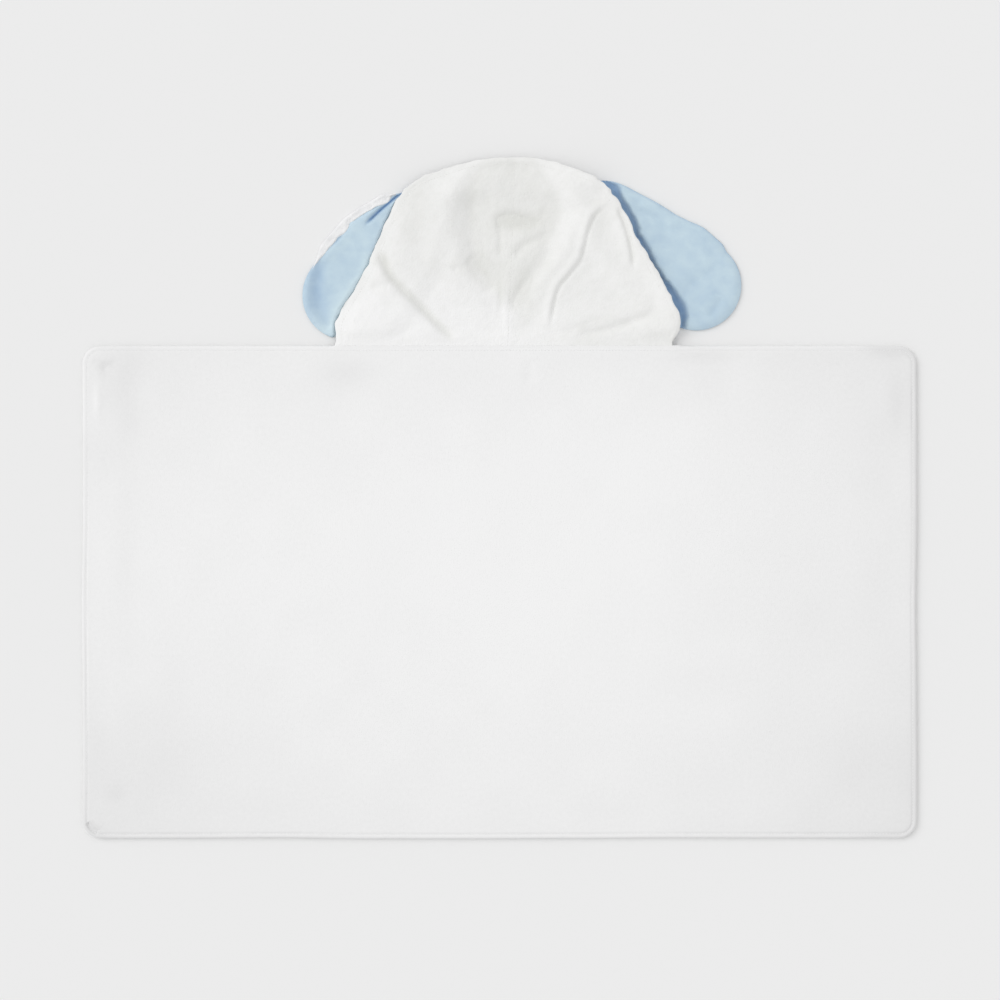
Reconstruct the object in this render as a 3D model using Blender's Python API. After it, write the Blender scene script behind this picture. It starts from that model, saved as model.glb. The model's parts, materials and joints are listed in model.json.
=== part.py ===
"""Hooded baby towel, lying flat with its inside face up and its hood spread out.

A two-layer towel body is sewn along one long edge to a hood of two halves, each an outer shell
and a lining. Two lop ears, white behind and blue in front, are each tacked by their pointed end to
the back of the hood, and turn about that tack. Units are metres, +Z is up, and the origin is under
the middle of the whole outline, on the surface it lies on.
"""

import math

import bmesh
import bpy
from mathutils import Vector

# Body of the towel
BODY_WIDTH = 0.914
BODY_HEIGHT = 0.540
BODY_CORNER = 0.020
BACK_THICKNESS = 0.0031
FACE_THICKNESS = 0.0026
EDGE_ROUND = 0.0008
STITCH_INSET = 0.0062

# Hood, measured from its own centreline and from the neck seam
HOOD_HEIGHT = 0.206
HOOD_BASE_HALF = 0.190
SHOULDER_HALF = 0.116
CROWN_RISE = 0.029
HOOD_SHIFT = 0.009
SHELL_THICKNESS = 0.0019
LINING_THICKNESS = 0.0018
NECK_PINCH = 0.5
NECK_PINCH_REACH = 0.020
RIM_BAND = 0.030
EAR_MARGIN = 0.010
RIM_SLOPE = 0.024
FOLD_RISE = 0.0055
FOLD_HALF_WIDTH = 0.022
FOLD_FOOT = 0.045
HOOD_STITCH_INSET = 0.007
HOOD_STITCH_START = 0.021

# Ears: one teardrop shape. On each side its point is tucked in and up from the hood's shoulder, and its
# round end lies at its own height above the neck, which sets the angle that it lies at.
EAR_REACH = 0.160
EAR_ROUND = 0.0494
EAR_FULLNESS = 0.6
EAR_BASE_HALF = 0.006
EAR_BACK_THICKNESS = 0.0012
EAR_LINING_THICKNESS = 0.0011
EAR_SEAM_INSET = 0.004
EAR_TUCK_IN = {"left": 0.0325, "right": 0.0240}
EAR_TUCK_UP = {"left": 0.0086, "right": 0.0003}
EAR_END_ABOVE_NECK = {"left": 0.0056, "right": 0.0166}
TACK_RADIUS = 0.0016
TACK_FROM_BASE = 0.010

# Care label, under the neck
LABEL_WIDTH = 0.028
LABEL_LENGTH = 0.012
LABEL_THICKNESS = 0.0004
LABEL_FROM_CENTRE = 0.060

# Clearances
LAYER_GAP = 0.0003
HINGE_GAP = 0.00035
FEATHER_EDGE = 0.0003
NECK_CHAMFER = 0.8
THREAD_RADIUS = 0.0003
NECK_SEAM_DEPTH = 0.0011
STITCH_SPACE = 0.002
SURFACE_SAG = 0.0001

# Places that follow from the sizes above
BODY_THICKNESS = BACK_THICKNESS + LAYER_GAP + FACE_THICKNESS
BODY_BOTTOM = -(BODY_HEIGHT + HOOD_HEIGHT) / 2
NECK_Y = BODY_BOTTOM + BODY_HEIGHT
NECK_AXIS = Vector((HOOD_SHIFT, NECK_Y, BODY_THICKNESS))
SEAM_SPACE = 2 * (THREAD_RADIUS + LAYER_GAP)
EAR_THICKNESS = EAR_BACK_THICKNESS + SEAM_SPACE + EAR_LINING_THICKNESS
RIM_LIFT = EAR_THICKNESS + LAYER_GAP
SHOULDER_RISE = HOOD_HEIGHT - CROWN_RISE
CROWN_RADIUS = (SHOULDER_HALF**2 + CROWN_RISE**2) / (2 * CROWN_RISE)
PINCHED_HOOD = NECK_PINCH * (SHELL_THICKNESS + LINING_THICKNESS) + LAYER_GAP
NECK_LIFT = BODY_THICKNESS - PINCHED_HOOD

# Mesh fineness
CORNER_STEPS = 6
SIDE_STEPS = 10
CROWN_STEPS = 9
HOOD_STEPS = SIDE_STEPS + CROWN_STEPS
ACROSS_STEPS = 9
EAR_STEPS = 12
EAR_END_STEPS = 9
TACK_SIDES = 16

WHITE_KNIT = (0.86, 0.86, 0.86)
WHITE_TERRY = (0.83, 0.835, 0.81)
EAR_BLUE = (0.45, 0.62, 0.74)
WHITE_THREAD = (0.80, 0.80, 0.80)


def clear_scene():
    for obj in list(bpy.data.objects):
        bpy.data.objects.remove(obj, do_unlink=True)


def cloth_material(name, colour, roughness):
    material = bpy.data.materials.new(name)
    material.use_nodes = True
    shader = material.node_tree.nodes["Principled BSDF"]
    shader.inputs["Base Color"].default_value = (*colour, 1.0)
    shader.inputs["Roughness"].default_value = roughness
    shader.inputs["Metallic"].default_value = 0.0
    return material


def smooth(value):
    """Rises gently from 0 to 1 as value does."""
    value = min(1.0, max(0.0, value))
    return value * value * (3 - 2 * value)


def add_object(name, data, material, parent):
    """Links an object whose data holds its place, under the empty that carries it."""
    data.materials.append(material)
    obj = bpy.data.objects.new(name, data)
    bpy.context.scene.collection.objects.link(obj)
    obj.parent = parent
    obj.matrix_parent_inverse = parent.matrix_world.inverted()
    return obj


def add_pivot(name, place, parent=None):
    pivot = bpy.data.objects.new(name, None)
    bpy.context.scene.collection.objects.link(pivot)
    pivot.parent = parent
    origin = parent.matrix_world.translation if parent else Vector()
    pivot.location = place - origin
    bpy.context.view_layer.update()
    return pivot


def mesh_from_rings(name, rings, closed_rings=True):
    """A closed solid lofted through rings of points, with its first and last ring filled."""
    bm = bmesh.new()
    rows = [[bm.verts.new(point) for point in ring] for ring in rings]
    count = len(rows[0])
    for lower, upper in zip(rows, rows[1:]):
        for i in range(count if closed_rings else count - 1):
            j = (i + 1) % count
            bm.faces.new((lower[i], lower[j], upper[j], upper[i]))
    bm.faces.new(reversed(rows[0]))
    bm.faces.new(rows[-1])
    bmesh.ops.recalc_face_normals(bm, faces=bm.faces)
    mesh = bpy.data.meshes.new(name)
    bm.to_mesh(mesh)
    bm.free()
    mesh.shade_smooth()
    mesh.set_sharp_from_angle(angle=math.radians(40))
    return mesh


def rounded_rectangle(half_width, low, high, corner):
    """Points round a rectangle with arcs for corners, anticlockwise."""
    points = []
    for turn, (x, y) in enumerate(
        ((half_width, high), (-half_width, high), (-half_width, low), (half_width, low))
    ):
        centre = (x - math.copysign(corner, x), y - corner if y == high else y + corner)
        for step in range(CORNER_STEPS + 1):
            angle = math.pi / 2 * (turn + step / CORNER_STEPS)
            points.append((centre[0] + corner * math.cos(angle), centre[1] + corner * math.sin(angle)))
    return points


def body_layer(name, floor, thickness, material, parent):
    """One flat layer of the body. Its neck edge slopes in under the seam, which leaves room for the hood."""
    top = floor + thickness
    rings = []
    for height, inset in (
        (floor, EDGE_ROUND),
        (floor + EDGE_ROUND / 2, EDGE_ROUND / 4),
        (floor + EDGE_ROUND, 0.0),
        (top - EDGE_ROUND, 0.0),
        (top - EDGE_ROUND / 2, EDGE_ROUND / 4),
        (top, EDGE_ROUND),
    ):
        depth = BODY_THICKNESS - height
        neck_inset = HINGE_GAP + max(0.0, depth - FEATHER_EDGE) / NECK_CHAMFER
        outline = rounded_rectangle(
            BODY_WIDTH / 2 - inset, BODY_BOTTOM + inset, NECK_Y - neck_inset, BODY_CORNER - inset
        )
        rings.append([(x, y, height) for x, y in outline])
    return add_object(name, mesh_from_rings(name, rings), material, parent)


def thread(name, points, material, parent, closed=False):
    """A row of stitches, as one thin bead along the points."""
    curve = bpy.data.curves.new(name, "CURVE")
    curve.dimensions = "3D"
    curve.bevel_depth = THREAD_RADIUS
    curve.bevel_resolution = 1
    curve.use_fill_caps = True
    spline = curve.splines.new("POLY")
    spline.points.add(len(points) - 1)
    for slot, point in zip(spline.points, points):
        slot.co = (*point, 1.0)
    spline.use_cyclic_u = closed
    return add_object(name, curve, material, parent)


def body_stitching(material, parent):
    """The topstitching that closes the turned edge, all round the face."""
    outline = rounded_rectangle(
        BODY_WIDTH / 2 - STITCH_INSET,
        BODY_BOTTOM + STITCH_INSET,
        NECK_Y - STITCH_INSET,
        BODY_CORNER - STITCH_INSET,
    )
    height = BODY_THICKNESS + LAYER_GAP + THREAD_RADIUS
    return thread("body_edge_stitching", [(x, y, height) for x, y in outline], material, parent, closed=True)


def rim_points(inset=0.0, start=0.0):
    """Points up one side of the hood's rim and over to the middle of its crown."""
    side = Vector((SHOULDER_HALF - HOOD_BASE_HALF, SHOULDER_RISE)).normalized()
    inward = Vector((-side.y, side.x)) * inset
    crown_centre = HOOD_HEIGHT - CROWN_RADIUS
    radius = CROWN_RADIUS - inset
    shoulder = Vector((SHOULDER_HALF, SHOULDER_RISE)) + inward
    shoulder_angle = math.atan2(shoulder.y - crown_centre, shoulder.x)
    foot = Vector((HOOD_BASE_HALF, 0.0)) + inward
    foot += side * ((start - foot.y) / side.y)
    shoulder = Vector((radius * math.cos(shoulder_angle), crown_centre + radius * math.sin(shoulder_angle)))
    points = [foot.lerp(shoulder, i / SIDE_STEPS) for i in range(SIDE_STEPS)]
    for i in range(CROWN_STEPS + 1):
        angle = shoulder_angle + (math.pi / 2 - shoulder_angle) * i / CROWN_STEPS
        points.append(Vector((radius * math.cos(angle), crown_centre + radius * math.sin(angle))))
    return points


def rim_distance(across, up):
    """How far inside the hood's rim a point is."""
    side = Vector((SHOULDER_HALF - HOOD_BASE_HALF, SHOULDER_RISE)).normalized()
    from_side = (Vector((HOOD_BASE_HALF, 0.0)) - Vector((across, up))).dot(Vector((side.y, -side.x)))
    crown_centre = HOOD_HEIGHT - CROWN_RADIUS
    from_crown = CROWN_RADIUS - math.hypot(across, up - crown_centre)
    return min(from_side, from_crown)


def hood_pinch(up):
    return NECK_PINCH + (1 - NECK_PINCH) * smooth(up / NECK_PINCH_REACH)


def ear_distance(side, across, up):
    """How far outside the ear a point of the hood is."""
    base, along, sideways = ear_frame(side)
    sign = -1 if side == "left" else 1
    spot = Vector((HOOD_SHIFT + sign * across, NECK_Y + up, 0.0)) - base
    place = spot.dot(along)
    aside = abs(spot.dot(sideways))
    if place > EAR_REACH:
        return math.hypot(place - EAR_REACH, aside) - EAR_ROUND
    return max(aside - ear_half_width(max(place, 0.0)), -place)


def hood_underside(side, across, up):
    """Height of the hood's outer side. It rises over the ears, at the rim and in one soft fold."""
    beyond = min(rim_distance(across, up) - RIM_BAND, ear_distance(side, across, up) - EAR_MARGIN)
    over_ears = RIM_LIFT * smooth(1 - beyond / RIM_SLOPE)
    fold_line = Vector((SHOULDER_HALF * 0.62, SHOULDER_RISE)).normalized()
    from_fold = abs(across * fold_line.y - up * fold_line.x)
    fold = FOLD_RISE * math.exp(-((from_fold / FOLD_HALF_WIDTH) ** 2)) * smooth(up / FOLD_FOOT - 0.3)
    near_neck = smooth(1 - up / NECK_PINCH_REACH)
    return max(over_ears, fold * (1 - near_neck), NECK_LIFT * near_neck)


def hood_layer(name, side, lower_share, upper_share, material, parent):
    """Half of one hood layer, between two shares of the hood's thickness, from centre seam to rim."""
    sign = -1 if side == "left" else 1
    outline = rim_points()

    def surface(share, gaps):
        """The points of this layer's upper or lower side, as rows from the neck to the crown."""
        neck_depth = NECK_PINCH * (SHELL_THICKNESS + LINING_THICKNESS) * (1 - share)
        neck_depth += (1 - gaps) * LAYER_GAP
        start = HINGE_GAP + max(0.0, neck_depth - FEATHER_EDGE) / NECK_CHAMFER
        rows = []
        for i, rim in enumerate(outline):
            rise = i / HOOD_STEPS
            middle = Vector((LAYER_GAP / 2, start + (HOOD_HEIGHT - start) * rise))
            edge = Vector((max(rim.x, LAYER_GAP / 2), max(rim.y, start)))
            row = []
            for j in range(ACROSS_STEPS + 1):
                spot = middle.lerp(edge, j / ACROSS_STEPS)
                cloth = (SHELL_THICKNESS + LINING_THICKNESS) * hood_pinch(spot.y)
                height = hood_underside(side, spot.x, spot.y) + cloth * share + LAYER_GAP * gaps
                row.append((HOOD_SHIFT + sign * spot.x, NECK_Y + spot.y, height))
            rows.append(row)
        return rows

    gaps = 0.0 if lower_share == 0 else 1.0
    lower = surface(lower_share, gaps)
    upper = surface(upper_share, gaps)
    bm = bmesh.new()
    sides = [[[bm.verts.new(p) for p in row] for row in rows] for rows in (lower, upper)]
    for rows in sides:
        for i in range(HOOD_STEPS):
            for j in range(ACROSS_STEPS):
                bm.faces.new((rows[i][j], rows[i][j + 1], rows[i + 1][j + 1], rows[i + 1][j]))
    low, high = sides
    for j in range(ACROSS_STEPS):
        bm.faces.new((low[0][j], low[0][j + 1], high[0][j + 1], high[0][j]))
        bm.faces.new((low[-1][j], low[-1][j + 1], high[-1][j + 1], high[-1][j]))
    for i in range(HOOD_STEPS):
        bm.faces.new((low[i][0], low[i + 1][0], high[i + 1][0], high[i][0]))
        bm.faces.new((low[i][-1], low[i + 1][-1], high[i + 1][-1], high[i][-1]))
    bmesh.ops.remove_doubles(bm, verts=bm.verts, dist=0.00002)
    bmesh.ops.dissolve_degenerate(bm, edges=bm.edges, dist=0.00002)
    bmesh.ops.recalc_face_normals(bm, faces=bm.faces)
    mesh = bpy.data.meshes.new(name)
    bm.to_mesh(mesh)
    bm.free()
    mesh.shade_smooth()
    mesh.set_sharp_from_angle(angle=math.radians(40))
    return add_object(name, mesh, material, parent)


def hood_top(across, up):
    side = "left" if across < 0 else "right"
    cloth = (SHELL_THICKNESS + LINING_THICKNESS) * hood_pinch(up) + LAYER_GAP
    return hood_underside(side, abs(across), up) + cloth


def hood_stitching(material, parent):
    """The row that closes the rim and the row on the centre seam, on the lining."""
    seat = LAYER_GAP + THREAD_RADIUS + SURFACE_SAG
    half = rim_points(inset=HOOD_STITCH_INSET, start=HOOD_STITCH_START)
    across_rim = [(-p.x, p.y) for p in half[:-1]] + [(p.x, p.y) for p in reversed(half)]
    rim = [(HOOD_SHIFT + x, NECK_Y + y, hood_top(x, y) + seat) for x, y in across_rim]
    thread("hood_rim_stitching", rim, material, parent)
    rises = [HOOD_HEIGHT * i / HOOD_STEPS for i in range(HOOD_STEPS + 1)]
    rises = [y for y in rises if HOOD_STITCH_START <= y <= HOOD_HEIGHT - HOOD_STITCH_INSET - STITCH_SPACE]
    seam = [(HOOD_SHIFT, NECK_Y + y, hood_top(0.0, y) + seat) for y in rises]
    thread("hood_centre_stitching", seam, material, parent)


def ear_half_width(along):
    """Half of the ear's width at a distance from its base point, up to the middle of its round end."""
    return EAR_ROUND * math.sin(math.pi / 2 * (along / EAR_REACH) ** EAR_FULLNESS)


def ear_start():
    """How far along the ear its base seam lies, where the teardrop is as wide as the seam."""
    return EAR_REACH * (math.asin(EAR_BASE_HALF / EAR_ROUND) / (math.pi / 2)) ** (1 / EAR_FULLNESS)


def ear_frame(side):
    """The ear's pointed end on the floor, its direction away from there, and the direction across it."""
    sign = -1 if side == "left" else 1
    up = SHOULDER_RISE + EAR_TUCK_UP[side]
    base = Vector((HOOD_SHIFT + sign * (SHOULDER_HALF - EAR_TUCK_IN[side]), NECK_Y + up, 0.0))
    drop = min(1.0, (up - EAR_ROUND - EAR_END_ABOVE_NECK[side]) / EAR_REACH)
    along = Vector((sign * math.sqrt(1 - drop * drop), -drop, 0.0))
    across = Vector((-along.y, along.x, 0.0))
    return base, along, across


def tack_place(side):
    base, along, _ = ear_frame(side)
    return base + along * (ear_start() + TACK_FROM_BASE)


def ear_outline(side, inset=0.0):
    """Points round the ear, from its narrow end along one side, over its round end and back."""
    base, along, across = ear_frame(side)
    first = ear_start() + inset
    stations = []
    for i in range(EAR_STEPS + 1):
        place = first + (EAR_REACH - first) * (i / EAR_STEPS) ** 1.5
        stations.append((place, ear_half_width(place) - inset))
    radius = EAR_ROUND - inset
    for i in range(1, EAR_END_STEPS):
        angle = math.pi / 2 * i / EAR_END_STEPS
        stations.append((EAR_REACH + radius * math.sin(angle), radius * math.cos(angle)))
    stations = [(place, max(half, THREAD_RADIUS * 4)) for place, half in stations]
    tip = [(EAR_REACH + radius, 0.0)]
    both = [(place, half) for place, half in stations] + tip + [(p, -h) for p, h in reversed(stations)]
    return [base + along * place + across * half for place, half in both]


def ear_layer(name, side, floor, thickness, material, parent):
    """One flat layer of an ear, with a hole where the tack goes through."""
    outline = ear_outline(side)
    top = floor + thickness
    rings = [[p + Vector((0.0, 0.0, height)) for p in outline] for height in (floor, top)]
    layer = add_object(name, mesh_from_rings(name, rings), material, parent)
    hole_radius = TACK_RADIUS + LAYER_GAP
    punch = tack_rod(f"{name}_punch", side, hole_radius, floor - LAYER_GAP, top + LAYER_GAP)
    punch.hide_render = True
    punch.display_type = "WIRE"
    hole = layer.modifiers.new("tack_hole", "BOOLEAN")
    hole.operation = "DIFFERENCE"
    hole.object = punch


def tack_rod(name, side, radius, low, high):
    """An upright rod on the ear's turning axis."""
    place = tack_place(side)
    angles = [math.tau * i / TACK_SIDES for i in range(TACK_SIDES)]
    rings = []
    for height in (low, high):
        centre = place + Vector((0.0, 0.0, height))
        rings.append([centre + Vector((math.cos(a), math.sin(a), 0.0)) * radius for a in angles])
    rod = bpy.data.objects.new(name, mesh_from_rings(name, rings))
    bpy.context.scene.collection.objects.link(rod)
    return rod


def ear_tack(side, material, parent):
    """The stitched spot that fixes the ear to the hood, and that the ear turns about."""
    rod = tack_rod(f"ear_{side}_tack", side, TACK_RADIUS, LAYER_GAP, EAR_THICKNESS)
    rod.data.materials.append(material)
    rod.parent = parent
    rod.matrix_parent_inverse = parent.matrix_world.inverted()


def ear_seam(side, material, parent):
    """The seam that joins the ear's two layers, between them and just inside their edge."""
    height = EAR_BACK_THICKNESS + SEAM_SPACE / 2
    points = [(p.x, p.y, height) for p in ear_outline(side, inset=EAR_SEAM_INSET)]
    thread(f"ear_{side}_seam", points, material, parent, closed=True)


def care_label(material, parent):
    """A small blank label sewn into the neck seam, on the floor under the hood."""
    centre = Vector((HOOD_SHIFT + LABEL_FROM_CENTRE, NECK_Y + LABEL_LENGTH / 2 + NECK_SEAM_DEPTH))
    floor = LAYER_GAP
    corners = [(-1, -1), (1, -1), (1, 1), (-1, 1)]
    rings = []
    for height in (floor, floor + LABEL_THICKNESS):
        rings.append([
            (centre.x + x * LABEL_WIDTH / 2, centre.y + y * LABEL_LENGTH / 2, height) for x, y in corners
        ])
    add_object("care_label", mesh_from_rings("care_label", rings), material, parent)


def neck_seam(material, parent):
    """The seam that joins hood and body, in the groove under the line that the hood folds on."""
    reach = HOOD_BASE_HALF - NECK_SEAM_DEPTH
    height = BODY_THICKNESS - NECK_SEAM_DEPTH
    points = [(HOOD_SHIFT + reach * share, NECK_Y, height) for share in (-1.0, -0.5, 0.0, 0.5, 1.0)]
    thread("neck_seam", points, material, parent)


def build_towel():
    knit = cloth_material("white_knit", WHITE_KNIT, 0.9)
    terry = cloth_material("white_terry", WHITE_TERRY, 0.95)
    blue = cloth_material("blue_cotton", EAR_BLUE, 0.8)
    white_thread = cloth_material("white_thread", WHITE_THREAD, 0.6)
    satin = cloth_material("label_satin", WHITE_THREAD, 0.35)

    towel = add_pivot("towel", Vector())
    body_layer("body_back_panel", 0.0, BACK_THICKNESS, terry, towel)
    body_layer("body_face_panel", BACK_THICKNESS + LAYER_GAP, FACE_THICKNESS, knit, towel)
    body_stitching(white_thread, towel)
    neck_seam(white_thread, towel)
    care_label(satin, towel)

    hood = add_pivot("hood_fold", NECK_AXIS, towel)
    shell_share = SHELL_THICKNESS / (SHELL_THICKNESS + LINING_THICKNESS)
    for side in ("left", "right"):
        hood_layer(f"hood_shell_{side}", side, 0.0, shell_share, terry, hood)
        hood_layer(f"hood_lining_{side}", side, shell_share, 1.0, terry, hood)
    hood_stitching(white_thread, hood)

    for side in ("left", "right"):
        ear = add_pivot(f"ear_{side}_swing", tack_place(side), hood)
        ear_layer(f"ear_{side}_back", side, 0.0, EAR_BACK_THICKNESS, terry, ear)
        lining_floor = EAR_BACK_THICKNESS + SEAM_SPACE
        ear_layer(f"ear_{side}_lining", side, lining_floor, EAR_LINING_THICKNESS, blue, ear)
        ear_seam(side, white_thread, ear)
        ear_tack(side, white_thread, hood)


clear_scene()
build_towel()
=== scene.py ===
"""Looks of a hooded baby towel that lies flat with its inside face up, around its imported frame.

The cloths are closed sheets whose top and bottom are worked out over the plane: soft swells, creases,
a rolled edge and a sewn groove. Units are metres, and +Z is up.
"""

import json
import math

import bmesh
import bpy
import numpy as np
from bpy.props import FloatProperty, FloatVectorProperty, PointerProperty
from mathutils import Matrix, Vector


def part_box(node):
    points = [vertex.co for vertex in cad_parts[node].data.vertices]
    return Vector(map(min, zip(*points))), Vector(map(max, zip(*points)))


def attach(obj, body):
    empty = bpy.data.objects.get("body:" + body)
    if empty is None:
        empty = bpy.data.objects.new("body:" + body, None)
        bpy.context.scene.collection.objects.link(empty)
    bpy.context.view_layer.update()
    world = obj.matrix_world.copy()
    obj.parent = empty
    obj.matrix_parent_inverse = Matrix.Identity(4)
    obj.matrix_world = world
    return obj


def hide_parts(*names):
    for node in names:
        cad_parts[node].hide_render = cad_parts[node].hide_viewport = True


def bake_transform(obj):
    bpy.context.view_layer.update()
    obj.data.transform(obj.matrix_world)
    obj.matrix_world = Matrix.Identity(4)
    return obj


bl_info = {
    "name": "Hooded Baby Towel",
    "version": (1, 0, 0),
    "blender": (4, 5, 0),
    "location": "3D View > Sidebar > Towel",
    "description": "Builds the cloths, stitches and studio of a hooded baby towel around its frame",
    "category": "Object",
}

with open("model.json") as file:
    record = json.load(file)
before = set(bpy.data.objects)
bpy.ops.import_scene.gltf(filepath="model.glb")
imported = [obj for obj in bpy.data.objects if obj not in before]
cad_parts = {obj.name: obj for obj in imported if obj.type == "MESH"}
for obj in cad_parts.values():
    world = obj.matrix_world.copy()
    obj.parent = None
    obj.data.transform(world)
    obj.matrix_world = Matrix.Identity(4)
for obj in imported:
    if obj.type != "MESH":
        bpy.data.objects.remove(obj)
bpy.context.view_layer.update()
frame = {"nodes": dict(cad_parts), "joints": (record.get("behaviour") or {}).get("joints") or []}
JOINTS = {joint["name"]: joint for joint in frame["joints"]}

# Places read from the frame
NECK = Vector(JOINTS["hood_fold"]["pos_m"])
FACE_LOW, FACE_HIGH = (Vector(corner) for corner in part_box("body_face_panel"))
BACK_HIGH = Vector(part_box("body_back_panel")[1])
HOOD_HIGH = Vector(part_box("hood_lining_right")[1])
HOOD_HEIGHT = HOOD_HIGH.y - NECK.y
HOOD_BASE_HALF = HOOD_HIGH.x - NECK.x
BODY_HALF = FACE_HIGH.x
BODY_MIDDLE = (FACE_LOW.y + FACE_HIGH.y) / 2
BODY_HALF_LENGTH = (FACE_HIGH.y - FACE_LOW.y) / 2
LAYER_MEET = (BACK_HIGH.z + FACE_LOW.z) / 2
EAR_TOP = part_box("ear_left_lining")[1][2]

# The body's corners and its slightly uneven cut edge
BODY_CORNER = 0.020
EDGE_WANDER = 0.0012

# The hood's outline above its base, and the way that its shoulders are cut off, across and up
SHOULDER_HALF = 0.116
CROWN_RISE = 0.029
SHOULDER_RISE = HOOD_HEIGHT - CROWN_RISE
CROWN_RADIUS = (SHOULDER_HALF**2 + CROWN_RISE**2) / (2 * CROWN_RISE)
CUT_ACROSS, CUT_UP = 0.72, 0.69

# How far past the neck a band reaches that the left ear's hidden part keeps clear of
NECK_BLEND = 0.008

# The ear's teardrop
EAR_REACH = 0.160
EAR_ROUND = 0.0494
EAR_FULLNESS = 0.6
EAR_BASE_HALF = 0.006
EAR_START = EAR_REACH * (math.asin(EAR_BASE_HALF / EAR_ROUND) / (math.pi / 2)) ** (1 / EAR_FULLNESS)

# Heights of the ear's cloths, and how far its front rises over its rim under the hood
EAR_BACK_TOP = 0.0008
EAR_FRONT_UNDER = 0.0009
EAR_FRONT_LEAST = 0.0011
EAR_FRONT_RIM = 0.0012
EAR_PRESSED = EAR_TOP - 0.0021

# How many places an ear's grid has along its straight part, round its end and across
EAR_ROWS, EAR_END_ROWS, EAR_COLUMNS = 110, 46, 90

# How thick a cloth of the hood is, the room between cloths, and how far the hood is sewn in
CLOTH = 0.0019
LAYER_GAP = 0.0002
SEAM_GAP = 0.00001
SEWN_IN = 0.0012

# Share of a crease's length over which each of its ends runs out
CREASE_FADE = 0.15

# A stitch's mesh, and how thick it is at its ends as a share of its middle
STITCH_SIDES, STITCH_RINGS = 6, 5
STITCH_ENDS = 0.45
STITCH_SPACING = 0.002

# Points closer than this are merged, and slivers thinner than this are removed
MERGED, SLIVER = 2e-6, 1e-6

# The studio, with the floor just under the towel and the camera over its middle
FLOOR_SIDE, FLOOR_DROP = 30.0, 0.0001
LAMP_SPREAD = math.radians(40)
LAMP_PLACE, LAMP_AIM = (-1.5, 1.5, 2.0), (1.0, -0.55, -1.0)
CAMERA_X, CAMERA_Y = 0.0005, -0.0022
LENS, SENSOR, FAR_CLIP = 100.0, 36.0, 50.0


def smooth(value):
    """Rises gently from 0 to 1 as value does."""
    value = np.clip(value, 0.0, 1.0)
    return value * value * (3 - 2 * value)


def roundness(distance, radius):
    """A quarter round: 0 at the edge, and 1 from radius inwards."""
    share = np.clip(distance / radius, 0.0, 1.0)
    return np.sqrt(1 - (1 - share) ** 2)


def swell(x, y, size, seed):
    """Smooth random swells between -1 and 1, each about size across."""
    lattice = np.random.default_rng(seed).random((97, 97)) * 2 - 1
    column, row = x / size + 41.3, y / size + 37.7
    i, j = np.floor(column).astype(int), np.floor(row).astype(int)
    a, b = smooth(column - i), smooth(row - j)

    def at(di, dj):
        return lattice[(i + di) % 97, (j + dj) % 97]

    low = at(0, 0) * (1 - a) + at(1, 0) * a
    high = at(0, 1) * (1 - a) + at(1, 1) * a
    return low * (1 - b) + high * b


def gathered(count, share):
    """Places from 0 to 1 that stand closer together at both ends."""
    t = np.linspace(0.0, 1.0, count)
    return t - share * np.sin(math.tau * t) / math.tau


def between(value, start, rise, end, fall):
    """1 from start to end and 0 outside them, with soft ramps of rise and fall just inside."""
    return smooth((value - start) / rise) * smooth((end - value) / fall)


def bell(distance, width):
    """1 at no distance, falling softly to almost 0 at twice the width."""
    return np.exp(-((distance / width) ** 2))


def curve_through(points, steps=12):
    """Points along a smooth curve through the points."""
    points = [np.array(p, float) for p in points]
    ends = [2 * points[0] - points[1], *points, 2 * points[-1] - points[-2]]
    found = []
    for before, start, end, after in zip(ends, ends[1:], ends[2:], ends[3:]):
        slope = end - before
        bend = 2 * before - 5 * start + 4 * end - after
        twist = 3 * start - before - 3 * end + after
        for t in np.linspace(0.0, 1.0, steps, endpoint=False):
            found.append(0.5 * (2 * start + slope * t + bend * t**2 + twist * t**3))
    return np.array([*found, points[-1]])


def along_line(x, y, points):
    """Signed distance from a curve, positive on its left, and how far along it, from 0 to 1."""
    path = curve_through(points)
    nearest = np.full(x.shape, np.inf)
    signed, share = np.zeros(x.shape), np.zeros(x.shape)
    for number, (start, end) in enumerate(zip(path, path[1:])):
        run = end - start
        t = np.clip(((x - start[0]) * run[0] + (y - start[1]) * run[1]) / run.dot(run), 0, 1)
        dx, dy = x - start[0] - t * run[0], y - start[1] - t * run[1]
        away = np.hypot(dx, dy)
        closer = away < nearest
        nearest = np.where(closer, away, nearest)
        signed = np.where(closer, np.sign(run[0] * dy - run[1] * dx) * away, signed)
        share = np.where(closer, (number + t) / (len(path) - 1), share)
    return signed, share


def crease(x, y, points, depth, width, shoulder=0.0, fade=0.25):
    """A valley along a curve that runs out at both ends, with cloth heaped on its left side."""
    signed, share = along_line(x, y, points)
    heap = shoulder * bell(signed - 2.4 * width, 2.2 * width)
    return (heap - depth * bell(signed, width)) * between(share, 0, fade, 1, fade)


def creases(x, y, table):
    """The sum of the creases of a table, each given as its points, depth, width and heap."""
    return sum(crease(x, y, *one, fade=CREASE_FADE) for one in table)


def crease_painted_shade(x, y, table, strength):
    """How much the creases of a table darken the cloth's colour, as painted shade."""
    total = 0.0
    for points, depth, width, _ in table:
        total += crease(x, y, points, strength * depth, width, fade=CREASE_FADE)
    return total


def patches(x, y, table):
    """The sum of a table's soft hollows and rises, each given as its place, half sizes and strength."""
    total = np.zeros(x.shape)
    for (middle_x, middle_y), (half_x, half_y), strength in table:
        total += strength * bell(x - middle_x, half_x) * bell(y - middle_y, half_y)
    return total


def travelled_along(path):
    """How far along a path each of its points lies."""
    return np.concatenate([[0.0], np.cumsum(np.linalg.norm(np.diff(path, axis=0), axis=1))])


def points_at(path, places):
    """Points of a path at the given distances along it."""
    travelled = travelled_along(path)
    return np.stack([np.interp(places, travelled, values) for values in path.T], -1)


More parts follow.
